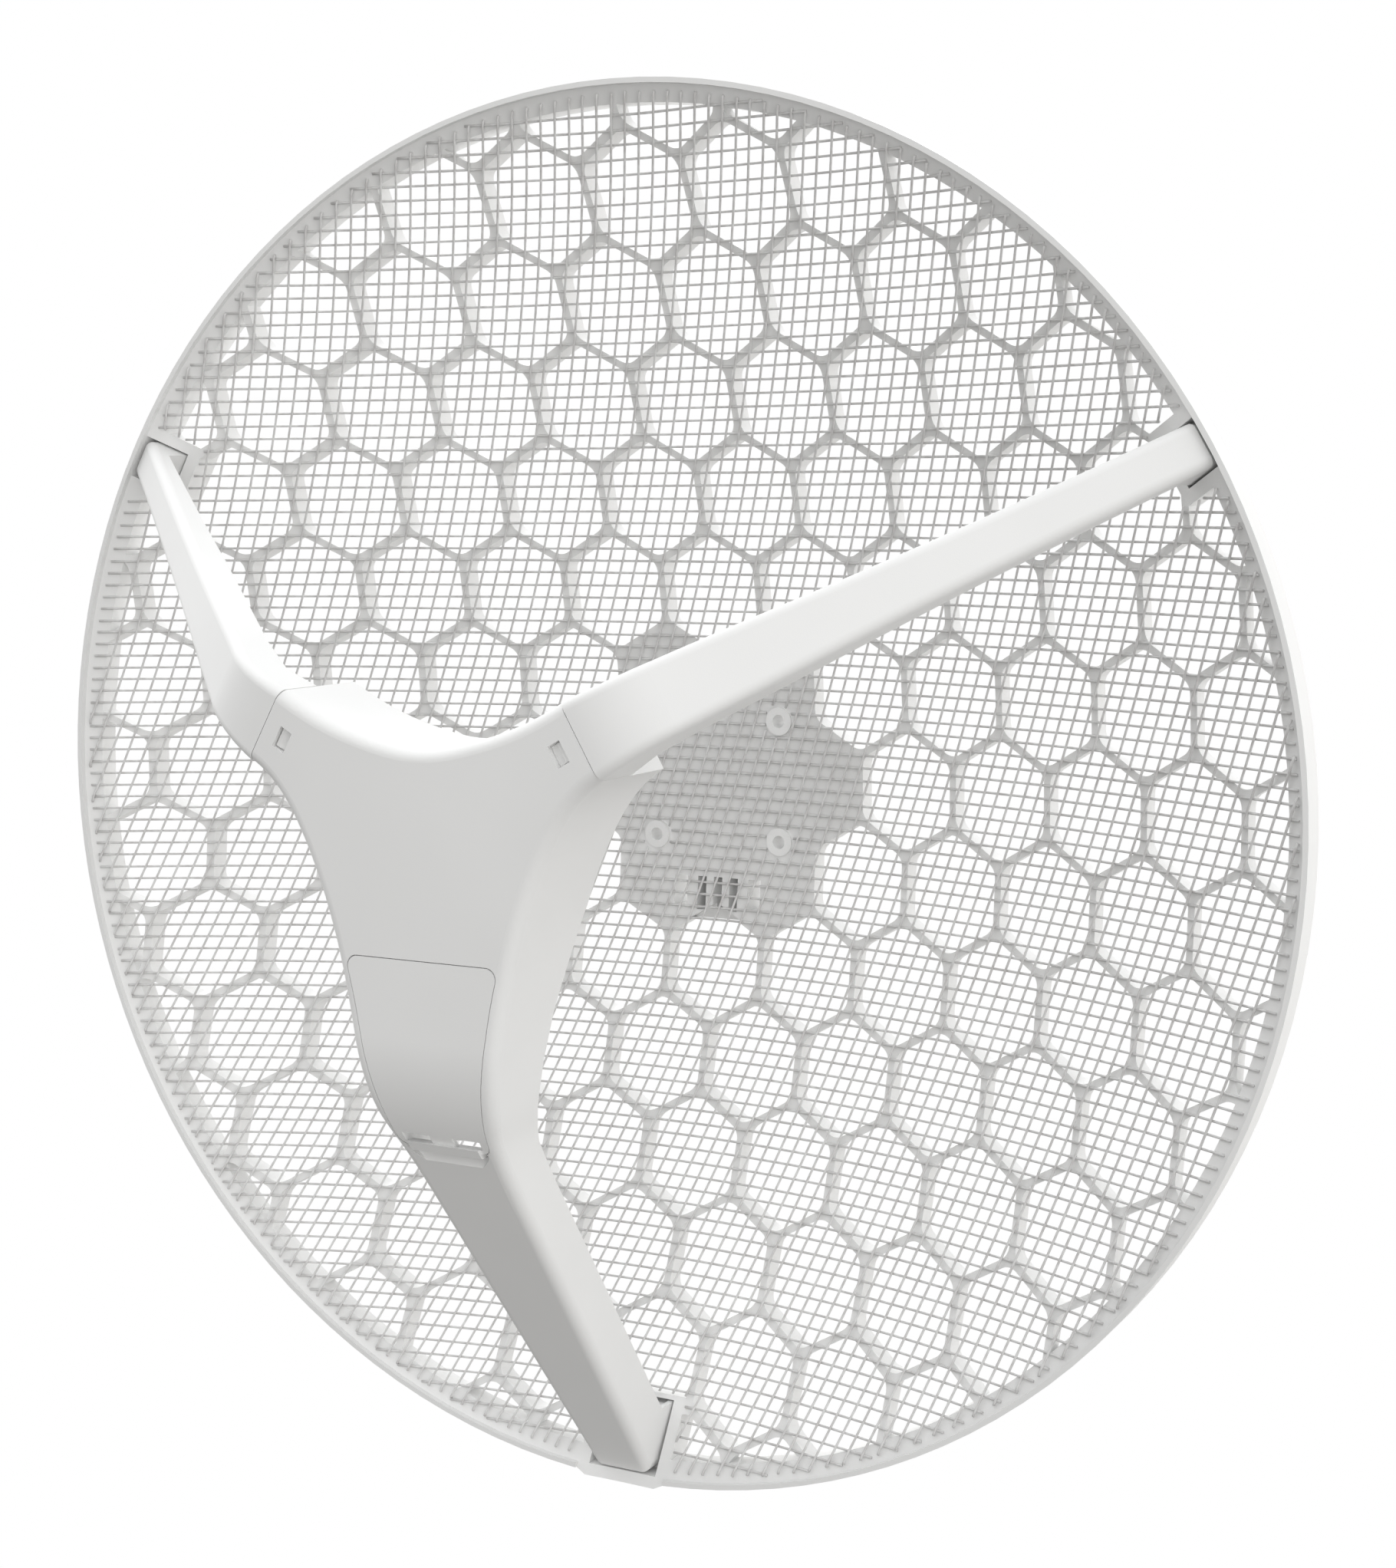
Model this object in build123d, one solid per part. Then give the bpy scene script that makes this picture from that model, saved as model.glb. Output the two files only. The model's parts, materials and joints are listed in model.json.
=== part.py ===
from build123d import *
from math import cos, hypot, radians, sin, sqrt
import os

# Grid satellite dish with a three-legged feed head and a tilting pole clamp.
# Everything is drawn in the dish's own frame: x to the right, y up, z out of the
# bowl along its axis, zero at the vertex of the paraboloid. At the end each piece
# is turned so that +Z is up and the bowl looks along -Y.

# --- reflector ---
DISH_R = 275.0          # outer radius of the rim
FOCAL = 216.0           # focal length of the paraboloid
RIM_LIP = 1.1           # how far the rim's lip stands above the bowl surface
RIM_WALL = 2.0          # thickness of the rim's outer wall
RIM_DEPTH = 13.9        # height of the rim's outer wall
FLANGE_W = 8.5          # width of the rim, flange and wall together
FLANGE_T = 2.2          # thickness of the flange
CELL = 45.0             # pitch of the honeycomb
RIB = 3.0               # width of a honeycomb rib
RIB_DEPTH = 8.5         # depth of a honeycomb rib
CELL_ROUND = 6.5        # rounding in the corners of a cell

# --- wire mesh ---
WIRE = 1.0              # wire thickness
LEVEL_PITCH = 5.2       # distance between level wires
SLANT_PITCH = 5.85      # distance between slanted wires
SLANT = 70.1            # direction of the slanted wires, degrees from level
WELD_GAP = 0.02         # left under each layer of wires

# --- hub ---
PLATE_T = 3.0
PLATE_EDGE = 1.0        # the plate ends this far inside the ribs round it
BOLT_X = 29.2           # half spacings of the four bolt bosses
BOLT_Y = 25.2
BOLT_HOLE_R = 2.75
BOSS_R = 5.8
BOSS_UP = 1.2
SLOT_TOP = -42.0
OUTER_SLOT = (17.4, 6.0, 13.0)
INNER_SLOT = (7.5, 4.0, 14.0)

# --- tilt joint and pole clamp ---
PIVOT_Z = -36.0         # the pivot lies this far behind the vertex
PIVOT_R = 4.0           # radius of the pivot bolt
RUN = 0.05              # running clearance round the pivot bolt
EAR_IN = 11.0           # inner face of each hub ear
EAR_T = 5.0
EAR_H = 20.0            # height of ears and saddle
POLE_R = 20.0
POLE_Z = -80.0
BAND_W = 12.0
BAND_T = 0.8

# --- feed head and arms ---
FACE_Z = 219.0          # flat front face of the head
BEND_R = 93.0           # radius where the arms turn down towards the rim
WALL = 2.2              # wall of the mouldings
SEAM_R = 76.0           # radius of the joint between head and upper arm
SEAM_GAP = 0.3
FOOT_OUT = DISH_R - 3.5         # outer face of all three feet
LEG_FOOT_IN = FOOT_OUT - 25.0   # inner face of the lower arm's foot
ARM_FOOT_IN = FOOT_OUT - 14.0   # inner face of an upper arm's foot
FOOT_TOP = 0.7          # an arm's front line ends this far above the bowl, over the outer face
SLOPE = (FACE_Z - FOOT_OUT ** 2 / (4 * FOCAL) - FOOT_TOP) / (FOOT_OUT - BEND_R)
FOOT_SINK = 8.7         # how deep a foot stands in its socket
HEAD_ROUND = 4.5        # rounding of the head's front edges
ARM_ROUND = 3.5
ARM_HALF = [(SEAM_R, 15.0), (90.0, 13.9), (117.0, 12.7), (163.0, 10.6), (201.0, 9.4), (240.0, 8.8),
            (FOOT_OUT, 8.6)]
HEAD_SIDE = [(52.5, 1.0), (41.6, -25.0), (33.3, -57.5), (26.0, -98.0), (20.3, -136.0)]
LEG_TAPER = 0.051       # narrowing of the lower arm per unit of length, each side
HEAD_TOP = [(0.0, 32.5), (20.0, 35.4), (39.0, 41.4)]
HEAD_BACK = FACE_Z - 44.0       # back of the head's side walls
HEAD_RISE = [(98.0, 10.0), (92.0, 11.0), (80.0, 11.0), (63.0, 8.5), (42.0, 3.0), (25.0, 0.0),
             (-60.0, 0.0)]
LEG_DEPTH = 26.0        # depth of the lower arm, measured along the axis
ARM_BACK = [(ARM_FOOT_IN, 9.0), (ARM_FOOT_IN - 12.5, 10.0), (ARM_FOOT_IN - 27.5, 11.3),
            (ARM_FOOT_IN - 57.5, 13.8), (170.0, 16.6), (110.0, 19.3), (90.0, 20.5), (60.0, 22.0)]
LEG_BEND = 22.0         # how far before BEND_R the lower arm starts to bend
SLOPE_LEN = sqrt(1 + SLOPE ** 2)
LEG_CORNER = 4.5        # rounding of the feet's outer corners
ARM_CORNER = 3.0

# --- limits of cuts that run right through ---
BELOW = -30.0
BOWL_TOP = DISH_R ** 2 / (4 * FOCAL) + 25
HEAD_LOW = 40.0
HEAD_TOP_Z = FACE_Z + 20

# --- sockets ---
LEG_SOCKET = (LEG_FOOT_IN - 2.5, DISH_R + 1.3, 20.5)        # inner end, outer end and half width
ARM_SOCKET = (ARM_FOOT_IN - 5.0, DISH_R - RIM_WALL, 14.5)
SOCKETS = [(30, ARM_SOCKET), (150, ARM_SOCKET), (270, LEG_SOCKET)]
SOCKET_T = 12.5
FOOT_GAP = 0.8
LEG_SCREW_R = LEG_FOOT_IN + 13.5    # radius of the screws that hold the feet
ARM_SCREW_R = ARM_FOOT_IN + 7.0
FOOT_BOSS_R = 5.5

# --- electronics ---
BOARD_Z = FACE_Z - 13.0
BOARD_T = 1.6
BOARD_HALF = [(21.0, 37.0), (-2.0, 37.0), (-34.0, 28.0), (-55.0, 21.5), (-82.0, 21.5)]
BOARD_SCREWS = [(31.0, 14.0), (22.5, -34.0)]
COVER_SCREWS = [(45.0, 10.0), (22.6, -86.0)]
JACK = (16.0, 18.0, 13.5)
JACK_END = -84.0

# --- port door ---
DOOR_TOP = -41.5
DOOR_END = -112.0
DOOR_T = 1.8
DOOR_MARGIN = 4.6
DOOR_GAP = 0.3
GRIP_Y = -108.3         # middle of the slots above the door's grip
GRIP_HALF = 16.6        # the slots reach this far to each side
SCOOP_R = 9.0           # rounding of the finger scoop under the grip
SCOOP_DEPTH = 4.0


def bowl(r):
    return r * r / (4 * FOCAL)


def front_z(r):
    return FACE_Z - max(0.0, r - BEND_R) * SLOPE


def bowl_arc(r1, r2, up):
    middle = ((r1 + r2) / 2, 0, r1 * r2 / (4 * FOCAL) + up)
    return Bezier((r1, 0, bowl(r1) + up), middle, (r2, 0, bowl(r2) + up))


def bowl_layer(r1, r2, top, bottom):
    outer = Line((r2, 0, bowl(r2) + top), (r2, 0, bowl(r2) + bottom))
    edges = [bowl_arc(r1, r2, top), outer, bowl_arc(r2, r1, bottom)]
    edges.append(Line((r1, 0, bowl(r1) + bottom), (r1, 0, bowl(r1) + top)))
    return revolve(make_face(edges), Axis.Z)


def bar(face, z1, z2):
    return Pos(0, 0, z1) * extrude(face, z2 - z1, dir=(0, 0, 1))


def rod(x, y, r, z1, z2):
    return Pos(x, y, z1) * extrude(Circle(r), z2 - z1)


def block(x1, x2, y1, y2, z1, z2):
    return Pos((x1 + x2) / 2, (y1 + y2) / 2, (z1 + z2) / 2) * Box(x2 - x1, y2 - y1, z2 - z1)


def hexagon(pitch, rounding):
    flat = RegularPolygon(radius=pitch / 2, side_count=6, major_radius=False, rotation=30)
    return fillet(flat.vertices(), rounding) if rounding else flat


def cell_centres():
    reach = int(DISH_R / CELL) + 2
    for row in range(-reach, reach + 1):
        for column in range(-2 * reach, 2 * reach + 1):
            yield CELL * (column + row / 2), CELL * sqrt(3) / 2 * row


def hub_area(z1, z2, grow):
    cells = [(x, y) for x, y in cell_centres() if hypot(x, y) < 1.1 * CELL]
    area = Pos(0, 0, 0) * hexagon(CELL + RIB + 2 * grow, 0)
    for x, y in cells:
        area = area + Pos(x, y, 0) * hexagon(CELL + RIB + 2 * grow, 0)
    return bar(area, z1, z2)


def socket_area(socket, z1, z2):
    near, far, half = socket
    points = [(near, -half), (far - 2.0, -half), (far, 4.4 - half)]
    if far < DISH_R:
        points[1:] = [(DISH_R, -half)]
    points = points + [(x, -y) for x, y in reversed(points)]
    area = Polygon(*points, align=None)
    if far < DISH_R:
        area = area & Circle(far)
    return bar(area, z1, z2)


def socket_cuts(z1, z2):
    return [Rot(0, 0, angle) * socket_area(socket, z1, z2) for angle, socket in SOCKETS]


def honeycomb_grid():
    edge = DISH_R - FLANGE_W
    sheet = bowl_layer(0.001, edge, 0, -RIB_DEPTH)
    hole = hexagon(CELL - RIB, CELL_ROUND)
    cuts = []
    for x, y in cell_centres():
        if 1.1 * CELL < hypot(x, y) < edge + CELL / 2:
            cuts.append(Pos(x, y, BELOW) * extrude(hole, BOWL_TOP - BELOW))
    cuts.append(hub_area(BELOW, BOWL_TOP, -PLATE_EDGE) + slot_area(BELOW, BOWL_TOP))
    cuts = cuts + socket_cuts(BELOW, BOWL_TOP)
    return max((sheet - cuts).solids(), key=lambda solid: solid.volume)


def rim_ring():
    inner = DISH_R - FLANGE_W
    wall = DISH_R - RIM_WALL
    low = bowl(inner) - RIB_DEPTH
    top = bowl(DISH_R) + RIM_LIP
    edges = [bowl_arc(inner, wall, 0)]
    edges.append(Polyline((wall, 0, bowl(wall)), (wall, 0, top), (DISH_R, 0, top)))
    edges.append(Polyline((DISH_R, 0, top), (DISH_R - 0.4, 0, top - RIM_DEPTH),
                          (wall - 0.4, 0, top - RIM_DEPTH), (wall - 0.2, 0, bowl(wall - 0.2) - FLANGE_T)))
    edges.append(bowl_arc(wall - 0.2, inner + RIM_WALL, -FLANGE_T))
    edges.append(Polyline((inner + RIM_WALL, 0, bowl(inner + RIM_WALL) - FLANGE_T),
                          (inner + RIM_WALL, 0, low), (inner, 0, low), (inner, 0, bowl(inner))))
    ring = revolve(make_face(edges), Axis.Z)
    return ring - socket_cuts(BELOW, BOWL_TOP)


def foot_floor(r):
    """Height of the sloping floor on which a foot stands."""
    slope = (bowl(FOOT_OUT) - bowl(LEG_FOOT_IN)) / (FOOT_OUT - LEG_FOOT_IN)
    return bowl(LEG_FOOT_IN) - FOOT_SINK + slope * (r - LEG_FOOT_IN)


def foot_pocket(foot_in, far, half):
    near = foot_in - FOOT_GAP
    reach = half + FOOT_GAP
    floor = [(near, 0, foot_floor(near)), (far, 0, foot_floor(far))]
    side = Polyline((near, 0, BOWL_TOP), *floor, (far, 0, BOWL_TOP), close=True)
    return Pos(0, reach, 0) * extrude(make_face(side), 2 * reach, dir=(0, -1, 0))


def screw_seat(r):
    """Lower face of the boss that a foot's screw is pulled up against."""
    return bowl(r - FOOT_BOSS_R) - SOCKET_T - 0.3


def foot_socket(socket, pocket, screw_r):
    near, far, half = socket
    pad = bowl_layer(near - 5, far + 5, 0, -SOCKET_T) & socket_area(socket, BELOW, BOWL_TOP)
    pad = pad + rod(screw_r, 0, FOOT_BOSS_R, screw_seat(screw_r), foot_floor(screw_r) - 1.5)
    return pad - pocket - rod(screw_r, 0, 1.9, BELOW, BOWL_TOP)


def foot_screw(r):
    seat = screw_seat(r)
    screw = rod(r, 0, 3.8, seat - 2.4, seat) + rod(r, 0, 1.5, seat - 1, seat + 18)
    return screw - block(r - 2.6, r + 2.6, -0.5, 0.5, seat - 2.4, seat - 1.2)


def inside_spans(level, turn):
    """Stretches of a straight wire at this offset that lie on the reflector."""
    limit = DISH_R - RIM_WALL - 2.3
    if abs(level) >= limit - 8:
        return []
    reach = sqrt(limit ** 2 - level ** 2)
    blocked = []
    for x, y in [(BOLT_X, BOLT_Y), (-BOLT_X, BOLT_Y), (-BOLT_X, -BOLT_Y), (BOLT_X, -BOLT_Y)]:
        along = x * cos(turn) + y * sin(turn)
        off = -x * sin(turn) + y * cos(turn) - level
        clear = BOSS_R + 0.6 + WIRE / 2
        if abs(off) < clear:
            half = sqrt(clear ** 2 - off ** 2)
            blocked.append((along - half, along + half))
    for degrees, socket in SOCKETS:
        blocked = blocked + socket_shadow(socket, level, radians(degrees) - turn)
    spans = [(-reach, reach)]
    for low, high in blocked:
        spans = cut_spans(spans, low, high)
    return [span for span in spans if span[1] - span[0] > 6]


def socket_shadow(socket, level, direction):
    """Where a wire would run over a socket that lies in this direction."""
    c, s = cos(direction), sin(direction)
    half = socket[2] + 0.4 + WIRE / 2
    low, high = -1000.0, 1000.0
    for slope, offset, limit1, limit2 in ((c, level * s, socket[0] - 1, 400.0), (-s, level * c, -half, half)):
        if abs(slope) < 1e-6:
            if not limit1 < offset < limit2:
                return []
            continue
        ends = sorted(((limit1 - offset) / slope, (limit2 - offset) / slope))
        low = max(low, ends[0])
        high = min(high, ends[1])
    return [(low, high)] if high > low else []


def cut_spans(spans, low, high):
    left = []
    for start, end in spans:
        if high <= start or low >= end:
            left.append((start, end))
            continue
        if low > start:
            left.append((start, low))
        if high < end:
            left.append((high, end))
    return left


def wire(level, start, end, up):
    lift = (level + WIRE / 2) ** 2 / (4 * FOCAL) + up
    turn_z = start * end / (4 * FOCAL)
    edges = []
    for z, a, b in ((lift, start, end), (lift + WIRE, end, start)):
        edges.append(Bezier((a, 0, bowl(a) + z), ((a + b) / 2, 0, turn_z + z), (b, 0, bowl(b) + z)))
    edges.append(Line((end, 0, bowl(end) + lift), (end, 0, bowl(end) + lift + WIRE)))
    edges.append(Line((start, 0, bowl(start) + lift + WIRE), (start, 0, bowl(start) + lift)))
    fall = -2 * level * WIRE / (4 * FOCAL)
    strip = extrude(make_face(edges), hypot(WIRE, fall), dir=(0, -WIRE, fall))
    return Pos(0, level + WIRE / 2, 0) * strip


def mesh_wires(pitch, degrees, up):
    wires = []
    count = int(DISH_R / pitch)
    for number in range(-count, count + 1):
        level = (number + 0.5) * pitch
        for start, end in inside_spans(level, radians(degrees)):
            wires.append(Rot(0, 0, degrees) * wire(level, start, end, up))
    return Compound(children=wires)


def hub_plate():
    inner = hub_area(BELOW, BOWL_TOP, -RIB)
    whole = bowl_layer(0.001, 1.9 * CELL, 0, -RIB_DEPTH) & hub_area(BELOW, BOWL_TOP, -PLATE_EDGE)
    plate = whole - (inner - bar(Circle(3 * CELL), -PLATE_T, BOWL_TOP))
    plate = plate + slot_area(-RIB_DEPTH, -0.5)
    plate = plate + block(-EAR_IN - EAR_T, EAR_IN + EAR_T, -EAR_H / 2, EAR_H / 2, -RIB_DEPTH, -1)
    for side in (-1, 1):
        edge = side * (EAR_IN + EAR_T / 2)
        ear = Pos(edge, 0, PIVOT_Z) * Rot(0, 90, 0) * Cylinder(EAR_H / 2, EAR_T)
        plate = plate + ear + block(edge - EAR_T / 2, edge + EAR_T / 2, -EAR_H / 2, EAR_H / 2, PIVOT_Z, -2)
        for y in (-BOLT_Y, BOLT_Y):
            plate = plate + rod(side * BOLT_X, y, BOSS_R, -RIB_DEPTH, bowl(hypot(BOLT_X, BOLT_Y)) + BOSS_UP)
    holes = [Pos(0, 0, PIVOT_Z) * Rot(0, 90, 0) * Cylinder(PIVOT_R + RUN, 60)]
    for x in (-BOLT_X, BOLT_X):
        for y in (-BOLT_Y, BOLT_Y):
            holes.append(rod(x, y, BOLT_HOLE_R, -30, 30))
    return plate - holes - hub_slots()


def slot_area(z1, z2):
    """The straight-edged part of the plate that holds the slots."""
    half = OUTER_SLOT[0] + OUTER_SLOT[1] / 2 + 2.1
    return block(-half, half, SLOT_TOP - INNER_SLOT[2] - 4, SLOT_TOP + 4, z1, z2)


def hub_slots():
    across, width, height = OUTER_SLOT
    cuts = [block(s * across - width / 2, s * across + width / 2, SLOT_TOP - height, SLOT_TOP, -20, 20)
            for s in (-1, 1)]
    across, width, height = INNER_SLOT
    for x in (-across, 0, across):
        cuts.append(block(x - width / 2, x + width / 2, SLOT_TOP - height, SLOT_TOP, 1.6 - RIB_DEPTH, 20))
    for x in (0, across):
        cuts.append(rod(x, SLOT_TOP - height / 2, 1.4, -20, 20))
    return cuts


def pivot_bolt():
    end = EAR_IN + EAR_T
    shank = Pos(1.5, 0, PIVOT_Z) * Rot(0, 90, 0) * Cylinder(PIVOT_R, 2 * end + 13)
    head = Pos(-end - 5.5, 0, PIVOT_Z) * Rot(0, 90, 0) * extrude(hexagon(13.0, 0), 5.5)
    return head + (shank & block(-end - 4, end + 8, -20, 20, PIVOT_Z - 20, PIVOT_Z + 20))


def pivot_nut():
    end = EAR_IN + EAR_T
    nut = Pos(end, 0, PIVOT_Z) * Rot(0, 90, 0) * extrude(hexagon(13.0, 0), 6.5)
    return nut - Pos(end, 0, PIVOT_Z) * Rot(0, 90, 0) * Cylinder(PIVOT_R + RUN, 40)


def pole_saddle():
    side = EAR_IN - 0.5
    top = EAR_H / 2
    barrel = Pos(0, 0, PIVOT_Z) * Rot(0, 90, 0) * Cylinder(8.5, 2 * side)
    neck = block(-side, side, -8.5, 8.5, POLE_Z + 22, PIVOT_Z)
    jaw = block(-18, 18, -top, top, POLE_Z + 8, POLE_Z + 27)
    shape = barrel + neck + jaw
    pole = Pos(0, 0, POLE_Z) * Rot(90, 0, 0) * Cylinder(POLE_R, 100)
    slot = block(-30, 30, -BAND_W / 2 - 0.4, BAND_W / 2 + 0.4, POLE_Z - 20, POLE_Z + 23.4)
    pin = Pos(0, 0, PIVOT_Z) * Rot(0, 90, 0) * Cylinder(PIVOT_R + RUN, 60)
    return shape - pole - slot - pin


def clamp_band():
    outer = POLE_R + BAND_T
    front = POLE_Z + 22.5
    loops = []
    for r in (outer, POLE_R):
        shift = outer - r
        loop = Pos(0, 0, POLE_Z) * Rot(90, 0, 0) * Cylinder(r, BAND_W)
        loops.append(loop + block(-r, r, -BAND_W / 2, BAND_W / 2, POLE_Z, front - shift))
    return loops[0] - loops[1]


def clamp_worm_case():
    z = POLE_Z - POLE_R - BAND_T
    case = block(-8, 8, -BAND_W / 2 - 1, BAND_W / 2 + 1, z - 9, z)
    return case - worm_axis(3.3, 40) - Pos(0, 0, POLE_Z) * Rot(90, 0, 0) * Cylinder(POLE_R + BAND_T, 40)


def worm_axis(r, length):
    z = POLE_Z - POLE_R - BAND_T - 5.0
    return Pos(0, 0, z) * Rot(0, 90, 0) * Cylinder(r, length)


def clamp_worm():
    z = POLE_Z - POLE_R - BAND_T - 5.0
    head = Pos(8.2, 0, z) * Rot(0, 90, 0) * extrude(hexagon(7.0, 0), 5)
    stem = worm_axis(3.2, 18) + Pos(-8.2 - 1.0, 0, z) * Rot(0, 90, 0) * Cylinder(3.7, 1.6)
    slot = block(11.8, 14, -4, 4, z - 0.6, z + 0.6)
    return head + stem - slot


def shifted(points, inset):
    """Points of an open line moved to its left by the inset."""
    moved = []
    for index, (x, y) in enumerate(points):
        before = points[max(index - 1, 0)]
        after = points[min(index + 1, len(points) - 1)]
        dx, dy = after[0] - before[0], after[1] - before[1]
        size = hypot(dx, dy)
        moved.append((x - dy / size * inset, y + dx / size * inset))
    return moved


def arm_point(along, across):
    return (along * cos(radians(30)) - across * sin(radians(30)),
            along * sin(radians(30)) + across * cos(radians(30)))


def head_face(inset, foot):
    half = ARM_HALF[0][1]
    way = arm_point(1, 0)
    beyond = SEAM_R + 6
    top = shifted(HEAD_TOP, -inset) + [arm_point(SEAM_R, half - inset)]
    top[0] = (0.0, HEAD_TOP[0][1] - inset)
    side = shifted([arm_point(SEAM_R, -half)] + HEAD_SIDE, -inset)
    side[0] = arm_point(SEAM_R, inset - half)
    side[-1] = (HEAD_SIDE[-1][0] - inset, HEAD_SIDE[-1][1])
    end = (side[-1][0] - LEG_TAPER * (foot + HEAD_SIDE[-1][1]), -foot)
    edges = [Spline(*top, tangents=[(1, 0), way])]
    edges.append(Polyline(top[-1], arm_point(beyond, half - inset), arm_point(beyond, inset - half), side[0]))
    edges.append(Spline(*side, tangents=[(-way[0], -way[1]), (-LEG_TAPER, -1)]))
    edges.append(Polyline(side[-1], end, (0, -foot)))
    return make_face(edges + [mirror(edge, about=Plane.YZ) for edge in edges])


def side_half(y):
    """Half width of the head or lower arm at this y, along straight stretches."""
    points = HEAD_SIDE + [(HEAD_SIDE[-1][0] - LEG_TAPER * (FOOT_OUT + HEAD_SIDE[-1][1]), -FOOT_OUT)]
    for (x1, y1), (x2, y2) in zip(points, points[1:]):
        if y2 <= y <= y1:
            return x1 + (x2 - x1) * (y - y1) / (y2 - y1)
    return points[0][0]


def front_line(start, end, reach, drop):
    """Front line of an arm, seen from the side: flat, bend, slope. Points are (0, r, z)."""
    shift = drop * (SLOPE_LEN - 1) / SLOPE
    first = (0, BEND_R - reach - shift, FACE_Z - drop)
    second = (0, BEND_R - shift + reach / SLOPE_LEN, FACE_Z - drop - reach * SLOPE / SLOPE_LEN)
    last = (0, end, second[2] - (end - second[1]) * SLOPE)
    return [(0, start, FACE_Z - drop), first, second, last]


def side_slab(line, back):
    """A wide slab across an arm running along +y, under its front line and above the back points."""
    start, first, second, last = line
    edges = [Line(start, first), TangentArc(first, second, tangent=(0, 1, 0)), Line(second, last)]
    edges.append(Polyline(*([last] + [(0, r, z) for r, z in back] + [start])))
    return Pos(-95, 0, 0) * extrude(make_face(edges), 190, dir=(1, 0, 0))


def leg_slab(drop, back, end):
    return Rot(0, 0, 180) * side_slab(front_line(-60.0, end, LEG_BEND, drop), back)


def arm_slab(drop, back, start, end):
    return side_slab(front_line(start, end, BEND_R - SEAM_R - SEAM_GAP, drop), back)


def skin(drop1, drop2):
    """The layer between two depths below the front surface of head and lower arm."""
    bottom = [(FOOT_OUT, HEAD_LOW - 20), (-60.0, HEAD_LOW - 20)]
    return leg_slab(drop1, bottom, FOOT_OUT) - leg_slab(drop2, bottom, FOOT_OUT + 1)


def front_edges(solid, reach, axis_y):
    """Long edges where the front surface meets the side walls."""
    found = []
    for edge in solid.edges():
        spots = [edge @ t for t in (0.0, 0.3, 0.7, 1.0)]
        if any(abs(p.Z - front_height(axis_y * p.Y, reach)) > 0.03 for p in spots):
            continue
        if abs(spots[0].Y - spots[3].Y) < 1e-3 and abs(spots[0].Y - spots[1].Y) < 1e-3:
            continue
        seam = abs(spots[1].X) * cos(radians(30)) + spots[1].Y * sin(radians(30))
        if axis_y > 0 or seam < SEAM_R + 5.5:
            found.append(edge)
    return found


def front_height(r, reach):
    if r < BEND_R - reach:
        return FACE_Z
    if r > BEND_R + reach / SLOPE_LEN:
        return FACE_Z - (r - BEND_R) * SLOPE
    radius = reach * SLOPE / (SLOPE_LEN - 1)
    return FACE_Z - radius + sqrt(radius ** 2 - (r - BEND_R + reach) ** 2)


def beyond_seams(r):
    piece = block(-40, 40, r, r + 60, HEAD_LOW, HEAD_TOP_Z)
    return [Rot(0, 0, -60) * piece, Rot(0, 0, 60) * piece]


def head_back(lift):
    return [(r, HEAD_BACK + rise + lift) for r, rise in HEAD_RISE]


def head_solid():
    far = FOOT_OUT + 6
    foot = [(far, foot_floor(far)), (LEG_FOOT_IN, foot_floor(LEG_FOOT_IN))]
    leg = [(LEG_FOOT_IN, front_z(LEG_FOOT_IN) - LEG_DEPTH), (112.0, front_z(112.0) - LEG_DEPTH)]
    solid = through(head_face(0, far)) & leg_slab(0, foot + leg + head_back(0), far)
    solid = fillet(front_edges(solid, LEG_BEND, -1), HEAD_ROUND)
    solid = solid - block(-60, 60, -FOOT_OUT - 20, -FOOT_OUT, HEAD_LOW, HEAD_TOP_Z) - beyond_seams(SEAM_R)
    return solid - Rot(0, 0, 180) * foot_corners(side_half(-FOOT_OUT), LEG_CORNER)


def foot_corners(half, r):
    """What rounds the two outer corners of a foot, for a leg drawn along +y."""
    corner = block(half - r, half + 2, FOOT_OUT - r, FOOT_OUT + 2, HEAD_LOW, HEAD_TOP_Z)
    corner = corner - rod(half - r, FOOT_OUT - r, r, HEAD_LOW, HEAD_TOP_Z)
    return corner + mirror(corner, about=Plane.YZ)


def door_face(inset, top, bottom):
    rows = [top + (bottom - top) * step / 4 for step in range(5)]
    side = [(side_half(y) - DOOR_MARGIN - inset, y) for y in rows]
    mirrored = [(-x, y) for x, y in side[::-1]]
    edges = [Spline(*side), Line(side[-1], mirrored[0]), Spline(*mirrored), Line(mirrored[-1], side[0])]
    face = make_face(edges)
    return fillet(face.vertices(), 4.0)


def through(face):
    return bar(face, HEAD_LOW, HEAD_TOP_Z)


def grip_area(half, y1, y2):
    return block(-half, half, y1, y2, HEAD_LOW, HEAD_TOP_Z)


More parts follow.
